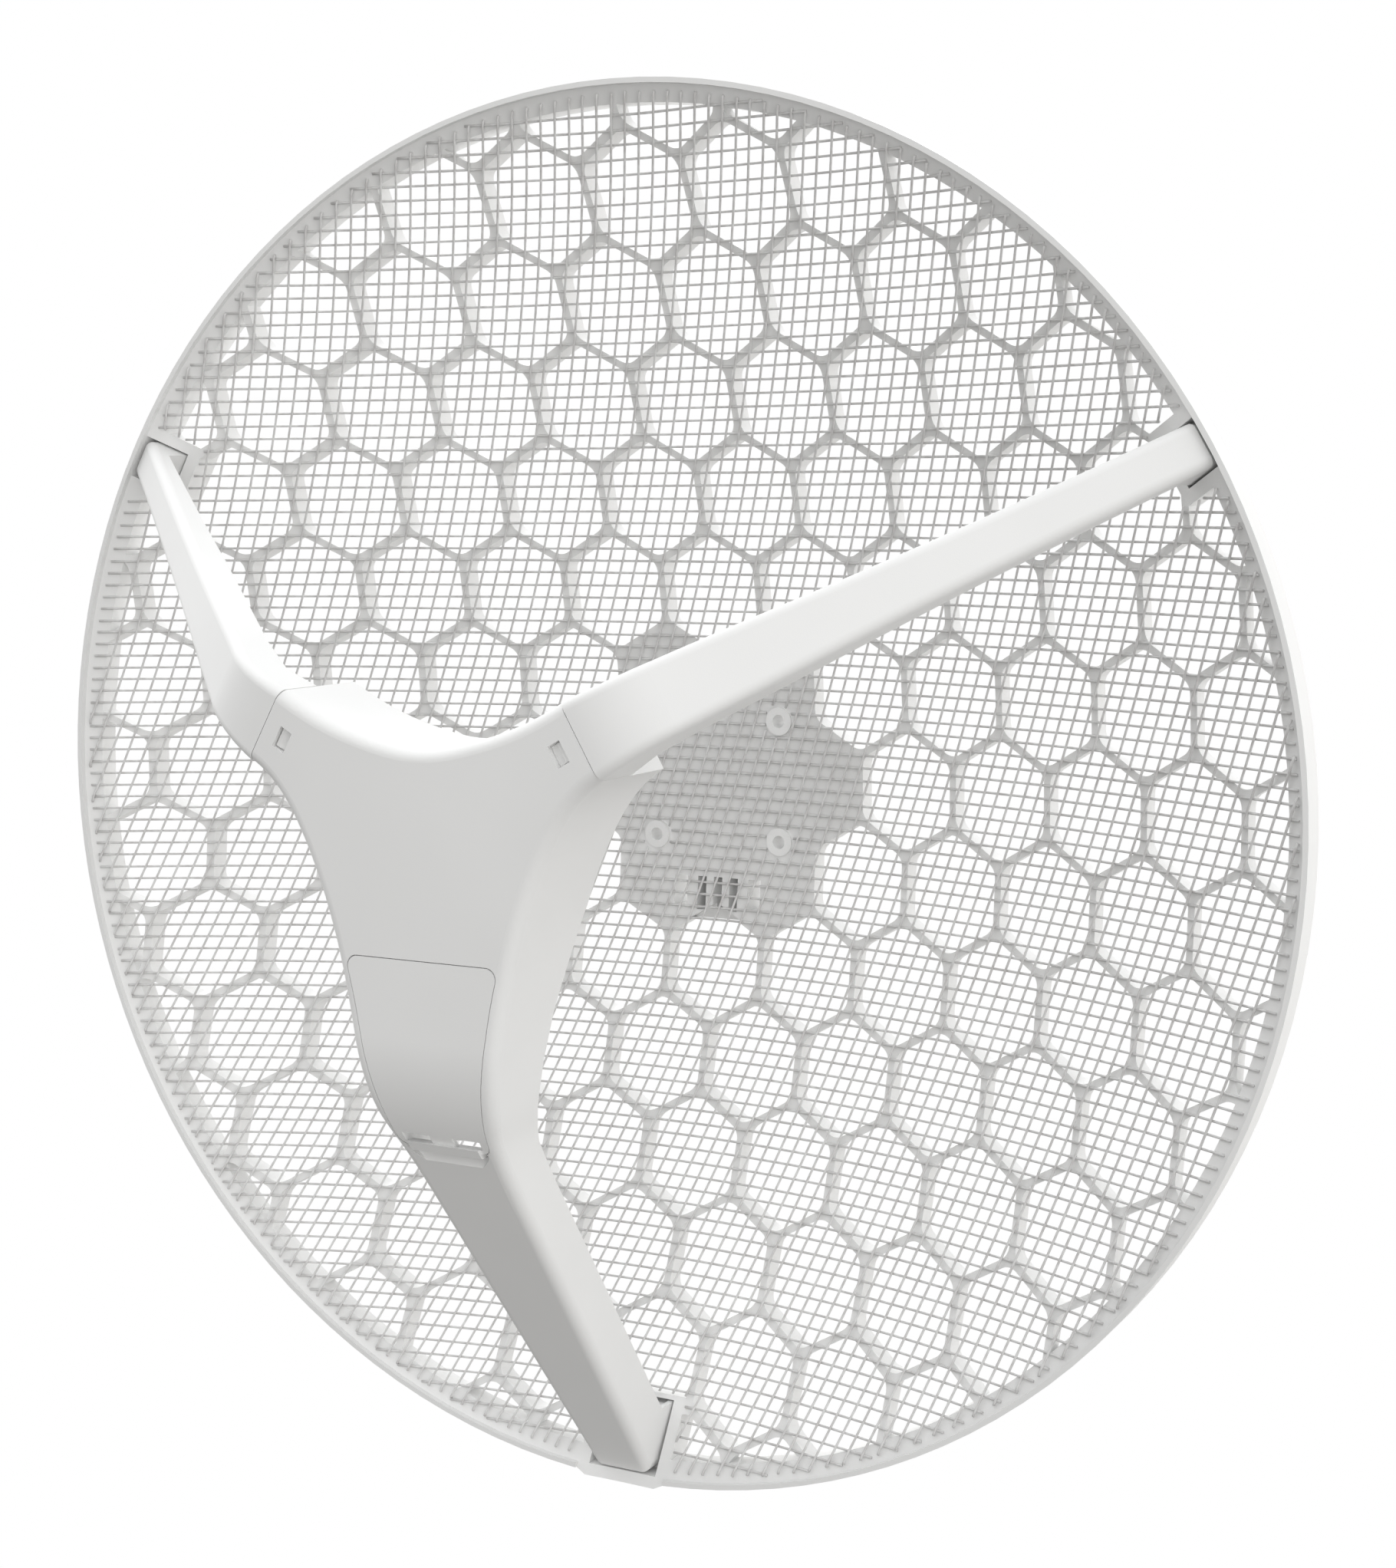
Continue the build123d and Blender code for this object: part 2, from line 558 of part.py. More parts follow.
def head_front_shell():
    solid = head_solid()
    end = LEG_FOOT_IN + 1.5
    cavity = through(head_face(WALL, end))
    cavity = cavity & leg_slab(WALL, [(end, HEAD_LOW), (-60.0, HEAD_LOW)], end)
    shell = solid - cavity
    wall = block(-14.6, 14.6, SEAM_R - 2.4, SEAM_R, HEAD_BACK, HEAD_BACK + 21)
    inner = [Rot(0, 0, -60) * wall, Rot(0, 0, 60) * wall]
    for side in (-1, 1):
        for x, y in BOARD_SCREWS:
            inner.append(rod(side * x, y, 3.2, BOARD_Z + BOARD_T, FACE_Z + 3))
        x, y = COVER_SCREWS[0]
        inner.append(rod(side * x, y, 3.6, HEAD_BACK + 2.8, FACE_Z + 3))
        x, y = COVER_SCREWS[1]
        inner.append(rod(side * x, y, 3.6, HEAD_BACK + 13.8, HEAD_BACK + 26))
    ledge = through(door_face(-2.5, DOOR_TOP - 2.5, DOOR_END - 3.0)) & skin(DOOR_T, DOOR_T + 1.6)
    inner.append(ledge - block(-45, 45, DOOR_TOP - 5.5, DOOR_TOP + 2.5, HEAD_LOW, HEAD_TOP_Z))
    inner.append(grip_area(20, DOOR_END - 10, DOOR_END + 0.6) & skin(WALL - 0.2, SCOOP_DEPTH + 1.6))
    for piece in inner:
        shell = shell + (piece & solid)
    return shell - head_cuts()


def head_cuts():
    cuts = [through(door_face(0, DOOR_TOP, DOOR_END)) & skin(-12, DOOR_T)]
    cuts.append(through(door_face(2.2, DOOR_TOP, DOOR_END + 8)) & skin(-12, 6.0))
    cuts.append(grip_area(GRIP_HALF, DOOR_END + 1.0, DOOR_END + 20) & skin(-12, 6.0))
    cuts.append(finger_scoop())
    window = block(-4.1, 4.1, SEAM_R - 11.8, SEAM_R - 6.4, FACE_Z - 6, HEAD_TOP_Z)
    cuts = cuts + [Rot(0, 0, -60) * window, Rot(0, 0, 60) * window]
    for side in (-1, 1):
        for x, y in BOARD_SCREWS:
            cuts.append(rod(side * x, y, 1.25, BOARD_Z, BOARD_Z + 9))
        for x, y in COVER_SCREWS:
            cuts.append(rod(side * x, y, 1.55, HEAD_BACK, HEAD_BACK + 24))
    cuts.append(rod(0, -LEG_SCREW_R, 1.55, HEAD_LOW, bowl(LEG_SCREW_R) + 4))
    return cuts


def finger_scoop():
    """A trough across the lower arm, deepest where the door's lower edge hangs over it."""
    r = DOOR_GAP - DOOR_END
    up = SCOOP_R - SCOOP_DEPTH
    middle = Pos(0, -r - up * SLOPE / SLOPE_LEN, front_z(r) + up / SLOPE_LEN)
    trough = middle * Rot(0, 90, 0) * Cylinder(SCOOP_R, 2 * GRIP_HALF + 2)
    trough = trough & grip_area(30, DOOR_END - 20, DOOR_END + 0.1)
    return trough & through(Pos(0, DOOR_END + 12, 0) * Circle(22.0))


def head_rear_cover():
    cover = through(head_face(WALL + 0.3, 98.0)) & cover_band()
    cover = cover - beyond_seams(SEAM_R - 2.7) - block(-60, 60, -140, -94.0, HEAD_LOW, HEAD_TOP_Z)
    for side in (-1, 1):
        for x, y in COVER_SCREWS:
            cover = cover - rod(side * x, y, 1.8, HEAD_LOW, HEAD_TOP_Z)
    return cover


def cover_band():
    low = [(0, -r, z) for r, z in head_back(0.6)]
    high = [(0, -r, z) for r, z in head_back(2.8)]
    path = Polyline(*(low + high[::-1] + [low[0]]))
    return Pos(-95, 0, 0) * extrude(make_face(path), 190, dir=(1, 0, 0))


def cover_screw(x, y):
    seat = HEAD_BACK + 0.6 + (11.0 if y < -50 else 0.0)
    screw = rod(x, y, 3.0, seat - 1.6, seat) + rod(x, y, 1.5, seat - 1, seat + 9)
    return screw - block(x - 2, x + 2, y - 0.4, y + 0.4, seat - 1.6, seat - 0.8)


def port_door():
    plate = through(door_face(DOOR_GAP, DOOR_TOP - DOOR_GAP, DOOR_END + DOOR_GAP)) & skin(0, DOOR_T)
    for side in (-1, 1):
        low, high = sorted((side * 4.8, side * GRIP_HALF))
        plate = plate - block(low, high, GRIP_Y - 1.7, GRIP_Y + 1.7, HEAD_LOW, HEAD_TOP_Z)
    plate = plate + (grip_area(GRIP_HALF - 1.4, DOOR_END - 1.6, GRIP_Y - 1.7) & skin(-1.2, DOOR_T))
    for x in (-18, 18):
        z = FACE_Z - WALL - 0.2
        plate = plate + block(x - 3, x + 3, DOOR_TOP - 4.5, DOOR_TOP + 2.8, z - 1.5, z)
        plate = plate + block(x - 3, x + 3, DOOR_TOP - 4.5, DOOR_TOP - 0.8, z - 1.5, FACE_Z - 1)
    return plate


def arm_face(inset, start, end):
    slope_in = ARM_HALF[0][1] + (SEAM_R - start) * 0.06
    right = [(half - inset, r) for r, half in ARM_HALF if r < end]
    last = ARM_HALF[-2][1] + (ARM_HALF[-1][1] - ARM_HALF[-2][1]) * (end - 240.0) / (FOOT_OUT - 240.0)
    right = [(slope_in - inset, start)] + right + [(last - inset, end)]
    left = [(-x, r) for x, r in right[::-1]]
    edges = [Spline(*right), Line(right[-1], left[0]), Spline(*left), Line(left[-1], right[0])]
    return make_face(edges)


def upper_arm():
    """One upper arm, drawn along +y."""
    start = SEAM_R - 5
    far = FOOT_OUT + 6
    foot = [(far, foot_floor(far)), (ARM_FOOT_IN, foot_floor(ARM_FOOT_IN))]
    back = [(r, front_z(r) - depth) for r, depth in ARM_BACK[:-1]] + [(start, FACE_Z - ARM_BACK[-1][1])]
    solid = through(arm_face(0, start, far)) & arm_slab(0, foot + back, start, far)
    solid = fillet(front_edges(solid, BEND_R - SEAM_R - SEAM_GAP, 1), ARM_ROUND)
    solid = solid & block(-40, 40, SEAM_R + SEAM_GAP, FOOT_OUT, HEAD_LOW, HEAD_TOP_Z)
    solid = solid - foot_corners(ARM_HALF[-1][1], ARM_CORNER)
    end = ARM_FOOT_IN - 14.5
    cavity = through(arm_face(WALL, start, end))
    cavity = cavity & arm_slab(WALL, [(end, HEAD_LOW), (start, HEAD_LOW)], start, end)
    return solid - cavity + arm_spigot() - rod(0, ARM_SCREW_R, 1.55, HEAD_LOW, bowl(ARM_SCREW_R) + 4)


def arm_spigot():
    half = ARM_HALF[0][1] - WALL - 0.4
    top = FACE_Z - WALL - 0.3
    joint = SEAM_R + SEAM_GAP
    spigot = block(-half, half, SEAM_R - 15, joint + 3, top - 17, top)
    spigot = spigot + block(-half - 1, half + 1, joint, joint + 3, top - 17, top + 1)
    spigot = spigot - block(1.6 - half, half - 1.6, SEAM_R - 26, joint + 6, top - 20, top - 1.6)
    near, far = SEAM_R - 11.2, SEAM_R - 7.0
    tab = Polyline((0, near, top - 0.5), (0, far, top - 0.5), (0, far, top + 1.1), (0, far - 1.4, top + 1.1),
                   (0, near, top + 0.1), close=True)
    return spigot + Pos(-3.6, 0, 0) * extrude(make_face(tab), 7.2, dir=(1, 0, 0))


def circuit_board():
    right = [(x, y) for y, x in BOARD_HALF]
    outline = right + [(-x, y) for x, y in right[::-1]]
    board = bar(Polygon(*outline, align=None), BOARD_Z, BOARD_Z + BOARD_T)
    for side in (-1, 1):
        for x, y in BOARD_SCREWS:
            board = board - rod(side * x, y, 1.35, HEAD_LOW, HEAD_TOP_Z)
    return board


def board_screw(x, y):
    screw = rod(x, y, 2.4, BOARD_Z - 1.5, BOARD_Z) + rod(x, y, 1.2, BOARD_Z - 1, BOARD_Z + 8)
    return screw - block(x - 1.6, x + 1.6, y - 0.35, y + 0.35, BOARD_Z - 1.5, BOARD_Z - 0.8)


def shield_can():
    top = BOARD_Z + BOARD_T
    can = block(-19, 19, -28, 12, top, top + 3.8)
    return can - block(-18.5, 18.5, -27.5, 11.5, top - 1, top + 3.3)


def chips():
    top = BOARD_Z + BOARD_T
    return [block(-12, 2, -22, -8, top, top + 1.4), block(6, 15, -4, 5, top, top + 1.0)]


def feed_pieces():
    ground = block(-20, 20, -20, 20, BOARD_Z - 4, BOARD_Z - 3)
    spacers = [rod(x, y, 2.2, BOARD_Z - 3, BOARD_Z) for x in (-16, 16) for y in (-16, 16)]
    patch = block(-13, 13, -13, 13, BOARD_Z - 10.8, BOARD_Z - 10)
    posts = [rod(x, y, 1.5, BOARD_Z - 10, BOARD_Z - 4) for x in (-9, 9) for y in (-9, 9)]
    director = rod(0, 0, 11, BOARD_Z - 18.8, BOARD_Z - 18)
    stem = rod(0, 0, 1.6, BOARD_Z - 18, BOARD_Z - 10.8)
    return {"feed_ground_plate": ground, "feed_ground_spacers": Compound(children=spacers),
            "feed_patch": patch, "feed_patch_posts": Compound(children=posts),
            "feed_director": director, "feed_director_stem": stem}


def ethernet_jack():
    wide, deep, high = JACK
    jack = block(-wide / 2, wide / 2, JACK_END, JACK_END + deep, BOARD_Z - high, BOARD_Z)
    jack = jack - block(-5.9, 5.9, JACK_END - 1, JACK_END + 13, BOARD_Z - 9.6, BOARD_Z - 1.5)
    jack = jack - block(-3.2, 3.2, JACK_END - 1, JACK_END + 9, BOARD_Z - 11.2, BOARD_Z - 9)
    return jack - block(-2.0, 2.0, JACK_END - 1, JACK_END + 9, BOARD_Z - 12.5, BOARD_Z - 11)


def jack_contacts():
    pins = []
    for number in range(8):
        x = (number - 3.5) * 1.02
        pins.append(block(x - 0.2, x + 0.2, JACK_END + 1.5, JACK_END + 11, BOARD_Z - 2.3, BOARD_Z - 1.5))
    return Compound(children=pins)


def status_leds():
    top = BOARD_Z + BOARD_T
    lamps = [block(x - 0.8, x + 0.8, -78.4, -77.6, top, top + 0.7) for x in (-18, -15.5, -13, -10.5, -8)]
    return Compound(children=lamps)


def reset_switch():
    top = BOARD_Z + BOARD_T
    return block(12, 18, -77, -71, top, top + 3.4) - rod(15, -74, 1.75, top + 1.6, top + 5)


def reset_plunger():
    top = BOARD_Z + BOARD_T
    return rod(15, -74, 1.65, top + 2.2, top + 4.5)


def mirrored_pair(pieces, name, piece):
    pieces[name + "_right"] = piece
    pieces[name + "_left"] = mirror(piece, about=Plane.YZ)


def reflector_pieces():
    pieces = {"honeycomb_grid": honeycomb_grid(), "rim_ring": rim_ring(), "hub_plate": hub_plate()}
    pieces["mesh_level_wires"] = mesh_wires(LEVEL_PITCH, 0.0, WELD_GAP)
    pieces["mesh_slanted_wires"] = mesh_wires(SLANT_PITCH, SLANT, WIRE + 2 * WELD_GAP)
    arm_pocket = foot_pocket(ARM_FOOT_IN, DISH_R, ARM_HALF[-2][1])
    leg_pocket = foot_pocket(LEG_FOOT_IN, FOOT_OUT + FOOT_GAP, side_half(-LEG_FOOT_IN))
    arm_feet = (ARM_SOCKET, arm_pocket, ARM_SCREW_R)
    leg_foot = (LEG_SOCKET, leg_pocket, LEG_SCREW_R)
    for name, angle, foot in (("right", 30, arm_feet), ("left", 150, arm_feet), ("bottom", 270, leg_foot)):
        pieces["foot_socket_" + name] = Rot(0, 0, angle) * foot_socket(*foot)
        pieces["foot_screw_" + name] = Rot(0, 0, angle) * foot_screw(foot[2])
    return pieces


def clamp_pieces():
    return {"pivot_bolt": pivot_bolt(), "pivot_nut": pivot_nut(), "pole_saddle": pole_saddle(),
            "clamp_band": clamp_band(), "clamp_worm_case": clamp_worm_case(), "clamp_worm": clamp_worm()}


def head_pieces():
    pieces = {"head_front_shell": head_front_shell(), "head_rear_cover": head_rear_cover()}
    arm = upper_arm()
    pieces["arm_right"] = Rot(0, 0, -60) * arm
    pieces["arm_left"] = Rot(0, 0, 60) * arm
    pieces["port_door"] = port_door()
    pieces["circuit_board"] = circuit_board()
    pieces["shield_can"] = shield_can()
    pieces["processor_chip"], pieces["radio_chip"] = chips()
    pieces.update(feed_pieces())
    pieces["ethernet_jack"] = ethernet_jack()
    pieces["jack_contacts"] = jack_contacts()
    pieces["status_leds"] = status_leds()
    pieces["reset_switch"] = reset_switch()
    pieces["reset_plunger"] = reset_plunger()
    for row, (x, y) in zip(("upper", "lower"), BOARD_SCREWS):
        mirrored_pair(pieces, "board_screw_" + row, board_screw(x, y))
    for row, (x, y) in zip(("upper", "lower"), COVER_SCREWS):
        mirrored_pair(pieces, "cover_screw_" + row, cover_screw(x, y))
    return pieces


def main():
    os.makedirs("parts", exist_ok=True)
    pieces = reflector_pieces()
    pieces.update(clamp_pieces())
    pieces.update(head_pieces())
    for name, piece in pieces.items():
        export_step(Rot(90, 0, 0) * piece, "parts/" + name + ".step")


main()
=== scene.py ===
import json
from math import cos, hypot, pi, radians, sin
import random

import bpy
import numpy as np
from mathutils import Matrix, Vector


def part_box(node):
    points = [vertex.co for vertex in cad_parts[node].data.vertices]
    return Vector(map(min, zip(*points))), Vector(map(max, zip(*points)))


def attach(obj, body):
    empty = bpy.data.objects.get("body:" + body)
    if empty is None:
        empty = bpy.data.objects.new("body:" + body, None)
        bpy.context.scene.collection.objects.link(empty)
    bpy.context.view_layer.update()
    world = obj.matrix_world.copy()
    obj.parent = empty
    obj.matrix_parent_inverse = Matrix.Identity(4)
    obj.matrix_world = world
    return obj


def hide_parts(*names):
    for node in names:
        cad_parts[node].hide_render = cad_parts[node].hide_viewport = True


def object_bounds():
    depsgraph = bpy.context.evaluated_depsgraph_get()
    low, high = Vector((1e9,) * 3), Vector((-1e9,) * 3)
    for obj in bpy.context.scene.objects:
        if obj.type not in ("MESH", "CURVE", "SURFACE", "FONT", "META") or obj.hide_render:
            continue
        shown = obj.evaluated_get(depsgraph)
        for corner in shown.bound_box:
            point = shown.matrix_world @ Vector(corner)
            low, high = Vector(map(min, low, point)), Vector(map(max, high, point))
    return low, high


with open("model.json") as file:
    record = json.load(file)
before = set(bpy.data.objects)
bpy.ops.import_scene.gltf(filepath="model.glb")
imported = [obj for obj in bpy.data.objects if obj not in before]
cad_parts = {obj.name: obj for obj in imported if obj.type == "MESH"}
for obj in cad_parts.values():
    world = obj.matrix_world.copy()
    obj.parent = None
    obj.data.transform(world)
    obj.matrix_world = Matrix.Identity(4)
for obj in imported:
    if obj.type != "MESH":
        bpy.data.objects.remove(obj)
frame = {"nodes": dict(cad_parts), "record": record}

cad_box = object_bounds()

# Looks of a grid satellite dish: its round mesh wires, moulded plastic, steel and electronics.
# All lengths are metres. The bowl looks along -Y, and its vertex is the origin.

# --- camera ---
CAMERA_AT = (0.5109, -0.9373, 0.1232)
CAMERA_AZIMUTH = 29.09
CAMERA_ELEVATION = 6.72
CAMERA_ROLL = -0.38
LENS_MM = 58.68
SENSOR_MM = 36.0

# --- reflector ---
FOCAL = 0.216                # focal length of the paraboloid
WIRE_R = 0.0005              # radius of a mesh wire
WIRE_STEP = 0.006            # length of one straight piece of a wire
WIRE_SIDES = 8
WIRE_WAVER = 0.00016         # how far a wire strays from its line
WAVER_TURNS = (0.6, 2.2)     # fewest and most waves along one wire
LEVEL_DIRECTION = 0.0        # degrees
SLANT_DIRECTION = 70.1       # degrees
END_LENGTH = 0.0026          # bent-down end of a slanted wire
END_DROP = 0.0011            # how far it comes down
LENGTH_SPREAD = (0.7, 1.3)   # least and most share of END_LENGTH
DROP_SPREAD = (0.7, 1.0)     # least and most share of END_DROP
KNEE_REACH = 0.45            # share of the length at the knee
KNEE_DROP = 0.35             # share of the drop at the knee
TIP_REACH = 0.8              # share of the length at the tip
RIM_ZONE = 0.012             # wire ends this near the rim are bent down
SAME_POINT_DIGITS = 5        # points equal to this many decimals are one
SEED = 7

# --- stage ---
FLOOR_DROP = 0.35            # floor below the lowest point of the dish
FLOOR_SIZE = 24.0
FAR_CLIP = 100.0
WHITE = (1.0, 1.0, 1.0, 1.0)

# --- soft boxes far round the stage: direction and strength ---
SOFT_BOXES = [
    ((0, -1, 0), 0.33),
    ((1, -1, 0), 1.10),
    ((0, -1, 1), 0.30),
    ((1, 0, 0), 0.65),
    ((1, 1, 0), 0.65),
    ((0, 1, 0), 1.20),
    ((-1, 1, 0), 1.20),
    ((-1, 1, 1), 1.20),
    ((-1, 0, 1), 1.00),
    ((0, 0, 1), 1.00),
]
WARM = (1.0, 0.98, 0.945)    # tint of the light from below
COOL = (0.98, 0.99, 1.0)     # tint of the light from above
LOBE_POWER = 3.0             # how narrow a soft box's glow is


def bowl_depth(u, v):
    """How far the bowl's surface lies in front of its vertex."""
    return (u * u + v * v) / (4 * FOCAL)


# ---------------------------------------------------------------- materials

class Nodes:
    """A material's node tree, with short ways to add and link nodes."""

    def __init__(self, name):
        self.material = bpy.data.materials.new(name)
        self.material.use_nodes = True
        self.tree = self.material.node_tree
        self.shader = self.tree.nodes["Principled BSDF"]
        self.place = self.add("ShaderNodeTexCoord").outputs["Object"]

    def add(self, kind, **inputs):
        node = self.tree.nodes.new(kind)
        for name, value in inputs.items():
            node.inputs[name].default_value = value
        return node

    def link(self, output, target):
        self.tree.links.new(output, target)

    def noise(self, scale, detail=3.0, rough=0.5):
        node = self.add("ShaderNodeTexNoise", Scale=scale, Detail=detail, Roughness=rough)
        self.link(self.place, node.inputs["Vector"])
        return node.outputs["Fac"]

    def ramp(self, value, low, high, colour_low, colour_high):
        node = self.add("ShaderNodeValToRGB")
        first, last = node.color_ramp.elements
        first.position, last.position = low, high
        first.color, last.color = (*colour_low, 1.0), (*colour_high, 1.0)
        self.link(value, node.inputs["Fac"])
        return node.outputs["Color"]

    def spread(self, value, low, high):
        node = self.add("ShaderNodeMapRange")
        node.inputs["To Min"].default_value = low
        node.inputs["To Max"].default_value = high
        self.link(value, node.inputs["Value"])
        return node.outputs["Result"]

    def bump(self, height, strength, distance):
        node = self.add("ShaderNodeBump", Strength=strength, Distance=distance)
        self.link(height, node.inputs["Height"])
        self.link(node.outputs["Normal"], self.shader.inputs["Normal"])

    def set(self, **values):
        for name, value in values.items():
            self.shader.inputs[name.replace("_", " ")].default_value = value


def moulded_plastic(name, dark, light, grain, roughness):
    """Moulded plastic: slow colour drift, fine spark-eroded grain."""
    m = Nodes(name)
    m.link(m.ramp(m.noise(9.0), 0.3, 0.7, dark, light), m.shader.inputs["Base Color"])
    sheen = m.spread(m.noise(160.0), roughness - 0.05, roughness + 0.07)
    m.link(sheen, m.shader.inputs["Roughness"])
    m.bump(m.noise(grain, 2.0), 0.12, 0.0002)
    m.set(Specular_IOR_Level=0.4)
    return m.material


def coated_wire():
    """Powder coat with slightly darker patches."""
    m = Nodes("coated_wire")
    coat = m.ramp(m.noise(260.0, 4.0), 0.35, 0.65, (0.59, 0.58, 0.575), (0.72, 0.72, 0.715))
    m.link(coat, m.shader.inputs["Base Color"])
    m.link(m.spread(m.noise(900.0), 0.35, 0.55), m.shader.inputs["Roughness"])
    m.bump(m.noise(2200.0, 2.0), 0.2, 0.0001)
    return m.material


def plated_steel(name, dark, light, roughness):
    """Zinc or tin plate: metal with cloudy crystals and fine scratches."""
    m = Nodes(name)
    cloud = m.noise(420.0, 5.0, 0.65)
    m.link(m.ramp(cloud, 0.3, 0.7, dark, light), m.shader.inputs["Base Color"])
    m.link(m.spread(cloud, roughness - 0.08, roughness + 0.12), m.shader.inputs["Roughness"])
    m.bump(m.noise(1500.0, 3.0), 0.08, 0.0001)
    m.set(Metallic=1.0)
    return m.material


def solder_mask():
    """Green circuit board with faint tracks under the mask."""
    m = Nodes("green_laminate")
    brick = m.add("ShaderNodeTexBrick", Scale=260.0)
    brick.inputs["Mortar Size"].default_value = 0.035
    brick.inputs["Color1"].default_value = (0.010, 0.105, 0.040, 1.0)
    brick.inputs["Color2"].default_value = (0.014, 0.125, 0.050, 1.0)
    brick.inputs["Mortar"].default_value = (0.030, 0.190, 0.085, 1.0)
    m.link(m.place, brick.inputs["Vector"])
    m.link(brick.outputs["Color"], m.shader.inputs["Base Color"])
    m.link(m.spread(m.noise(300.0), 0.22, 0.34), m.shader.inputs["Roughness"])
    m.bump(brick.outputs["Fac"], 0.1, 0.0001)
    return m.material


def lamp_epoxy():
    """Milky green epoxy of the status lamps."""
    m = Nodes("lamp_plastic")
    epoxy = m.ramp(m.noise(2000.0), 0.3, 0.7, (0.50, 0.62, 0.47), (0.68, 0.78, 0.62))
    m.link(epoxy, m.shader.inputs["Base Color"])
    m.link(m.spread(m.noise(1200.0), 0.08, 0.2), m.shader.inputs["Roughness"])
    return m.material


def make_materials():
    """A material for each slot of the record."""
    return {
        "white_plastic": moulded_plastic(
            "white_plastic", (0.80, 0.80, 0.795), (0.84, 0.84, 0.835), grain=2600.0, roughness=0.52),
        "coated_wire": coated_wire(),
        "zinc_steel": plated_steel(
            "zinc_steel", (0.52, 0.53, 0.54), (0.68, 0.69, 0.70), roughness=0.34),
        "green_laminate": solder_mask(),
        "tinned_steel": plated_steel(
            "tinned_steel", (0.62, 0.62, 0.61), (0.74, 0.74, 0.73), roughness=0.28),
        "feed_metal": plated_steel(
            "feed_metal", (0.72, 0.72, 0.73), (0.84, 0.84, 0.85), roughness=0.26),
        "black_plastic": moulded_plastic(
            "black_plastic", (0.018, 0.018, 0.020), (0.030, 0.030, 0.033), grain=1800.0, roughness=0.42),
        "gold_contacts": plated_steel(
            "gold_contacts", (0.78, 0.56, 0.22), (0.88, 0.68, 0.32), roughness=0.2),
        "lamp_plastic": lamp_epoxy(),
    }


def dress_nodes(materials):
    """Gives each CAD node the material of its slot."""
    for part in frame["record"]["subparts"]:
        slots = frame["nodes"][part["node"]].data.materials
        slots.clear()
        slots.append(materials[part["material_slot"]])


# ---------------------------------------------------------------- mesh wires

def separate_solids(node):
    """The points of each separate solid of a CAD node."""
    data = frame["nodes"][node].data
    points = np.array([vertex.co for vertex in data.vertices])
    _, spot = np.unique(np.round(points, SAME_POINT_DIGITS), axis=0, return_inverse=True)
    spot = spot.ravel()
    leader = list(range(int(spot.max()) + 1))

    def find(index):
        while leader[index] != index:
            leader[index] = leader[leader[index]]
            index = leader[index]
        return index

    for polygon in data.polygons:
        corners = [int(spot[corner]) for corner in polygon.vertices]
        for other in corners[1:]:
            leader[find(other)] = find(corners[0])
    groups = {}
    for point, where in zip(points, spot):
        groups.setdefault(find(int(where)), []).append(point)
    return [np.array(group) for group in groups.values()]


def wire_spans(node, direction):
    """(level, start, end, lift) of each wire, along its own direction in the plane of the rim."""
    c, s = cos(direction), sin(direction)
    for points in separate_solids(node):
        along = points[:, 0] * c + points[:, 2] * s
        level = -points[:, 0] * s + points[:, 2] * c
        height = -points[:, 1] - bowl_depth(points[:, 0], points[:, 2])
        middle = (level.min() + level.max()) / 2
        lift = (height.min() + height.max()) / 2
        yield middle, along.min(), along.max(), lift


def wire_path(level, start, end, lift, direction, draw):
    """Points along a wire that lies on the bowl, straying a little from its line."""
    count = max(2, int((end - start) / WIRE_STEP))
    phase = draw.uniform(0, 2 * pi)
    turns = draw.uniform(*WAVER_TURNS)
    path = []
    for step in range(count + 1):
        share = step / count
        along = start + (end - start) * share
        stray = WIRE_WAVER * sin(phase + 2 * pi * turns * share)
        u = along * cos(direction) - (level + stray) * sin(direction)
        v = along * sin(direction) + (level + stray) * cos(direction)
        path.append(Vector((u, -(bowl_depth(u, v) + lift), v)))
    return path


def bend_down(path, draw):
    """Bends the end of a path down onto the rim's flange."""
    ahead = (path[-1] - path[-2]).normalized()
    reach = END_LENGTH * draw.uniform(*LENGTH_SPREAD)
    drop = Vector((0, END_DROP * draw.uniform(*DROP_SPREAD), 0))
    bend = path[-1] - ahead * reach
    knee = bend + ahead * reach * KNEE_REACH + drop * KNEE_DROP
    tip = bend + ahead * reach * TIP_REACH + drop
    return path[:-1] + [bend, knee, tip]


def tube(points, radius, sides):
    """Rings of points round a path, as vertices and faces."""
    vertices = []
    faces = []
    for index, point in enumerate(points):
        ahead = points[min(index + 1, len(points) - 1)] - points[max(index - 1, 0)]
        ahead.normalize()
        across = ahead.cross(Vector((0, 1, 0))).normalized()
        up = across.cross(ahead)
        for corner in range(sides):
            angle = 2 * pi * corner / sides
            vertices.append(point + (across * cos(angle) + up * sin(angle)) * radius)
    for ring in range(len(points) - 1):
        for corner in range(sides):
            after = (corner + 1) % sides
            faces.append((ring * sides + corner, ring * sides + after,
                          (ring + 1) * sides + after, (ring + 1) * sides + corner))
    faces.append(tuple(range(sides))[::-1])
    faces.append(tuple((len(points) - 1) * sides + corner for corner in range(sides)))
    return vertices, faces


def new_piece(name, vertices, faces, material, body):
    """A smooth mesh piece that rides on a body."""
    data = bpy.data.meshes.new(name)
    data.from_pydata([tuple(vertex) for vertex in vertices], [], faces)
    data.validate()
    data.polygons.foreach_set("use_smooth", [True] * len(data.polygons))
    data.materials.append(material)
    piece = bpy.data.objects.new(name, data)
    bpy.context.scene.collection.objects.link(piece)
    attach(piece, body)
    return piece


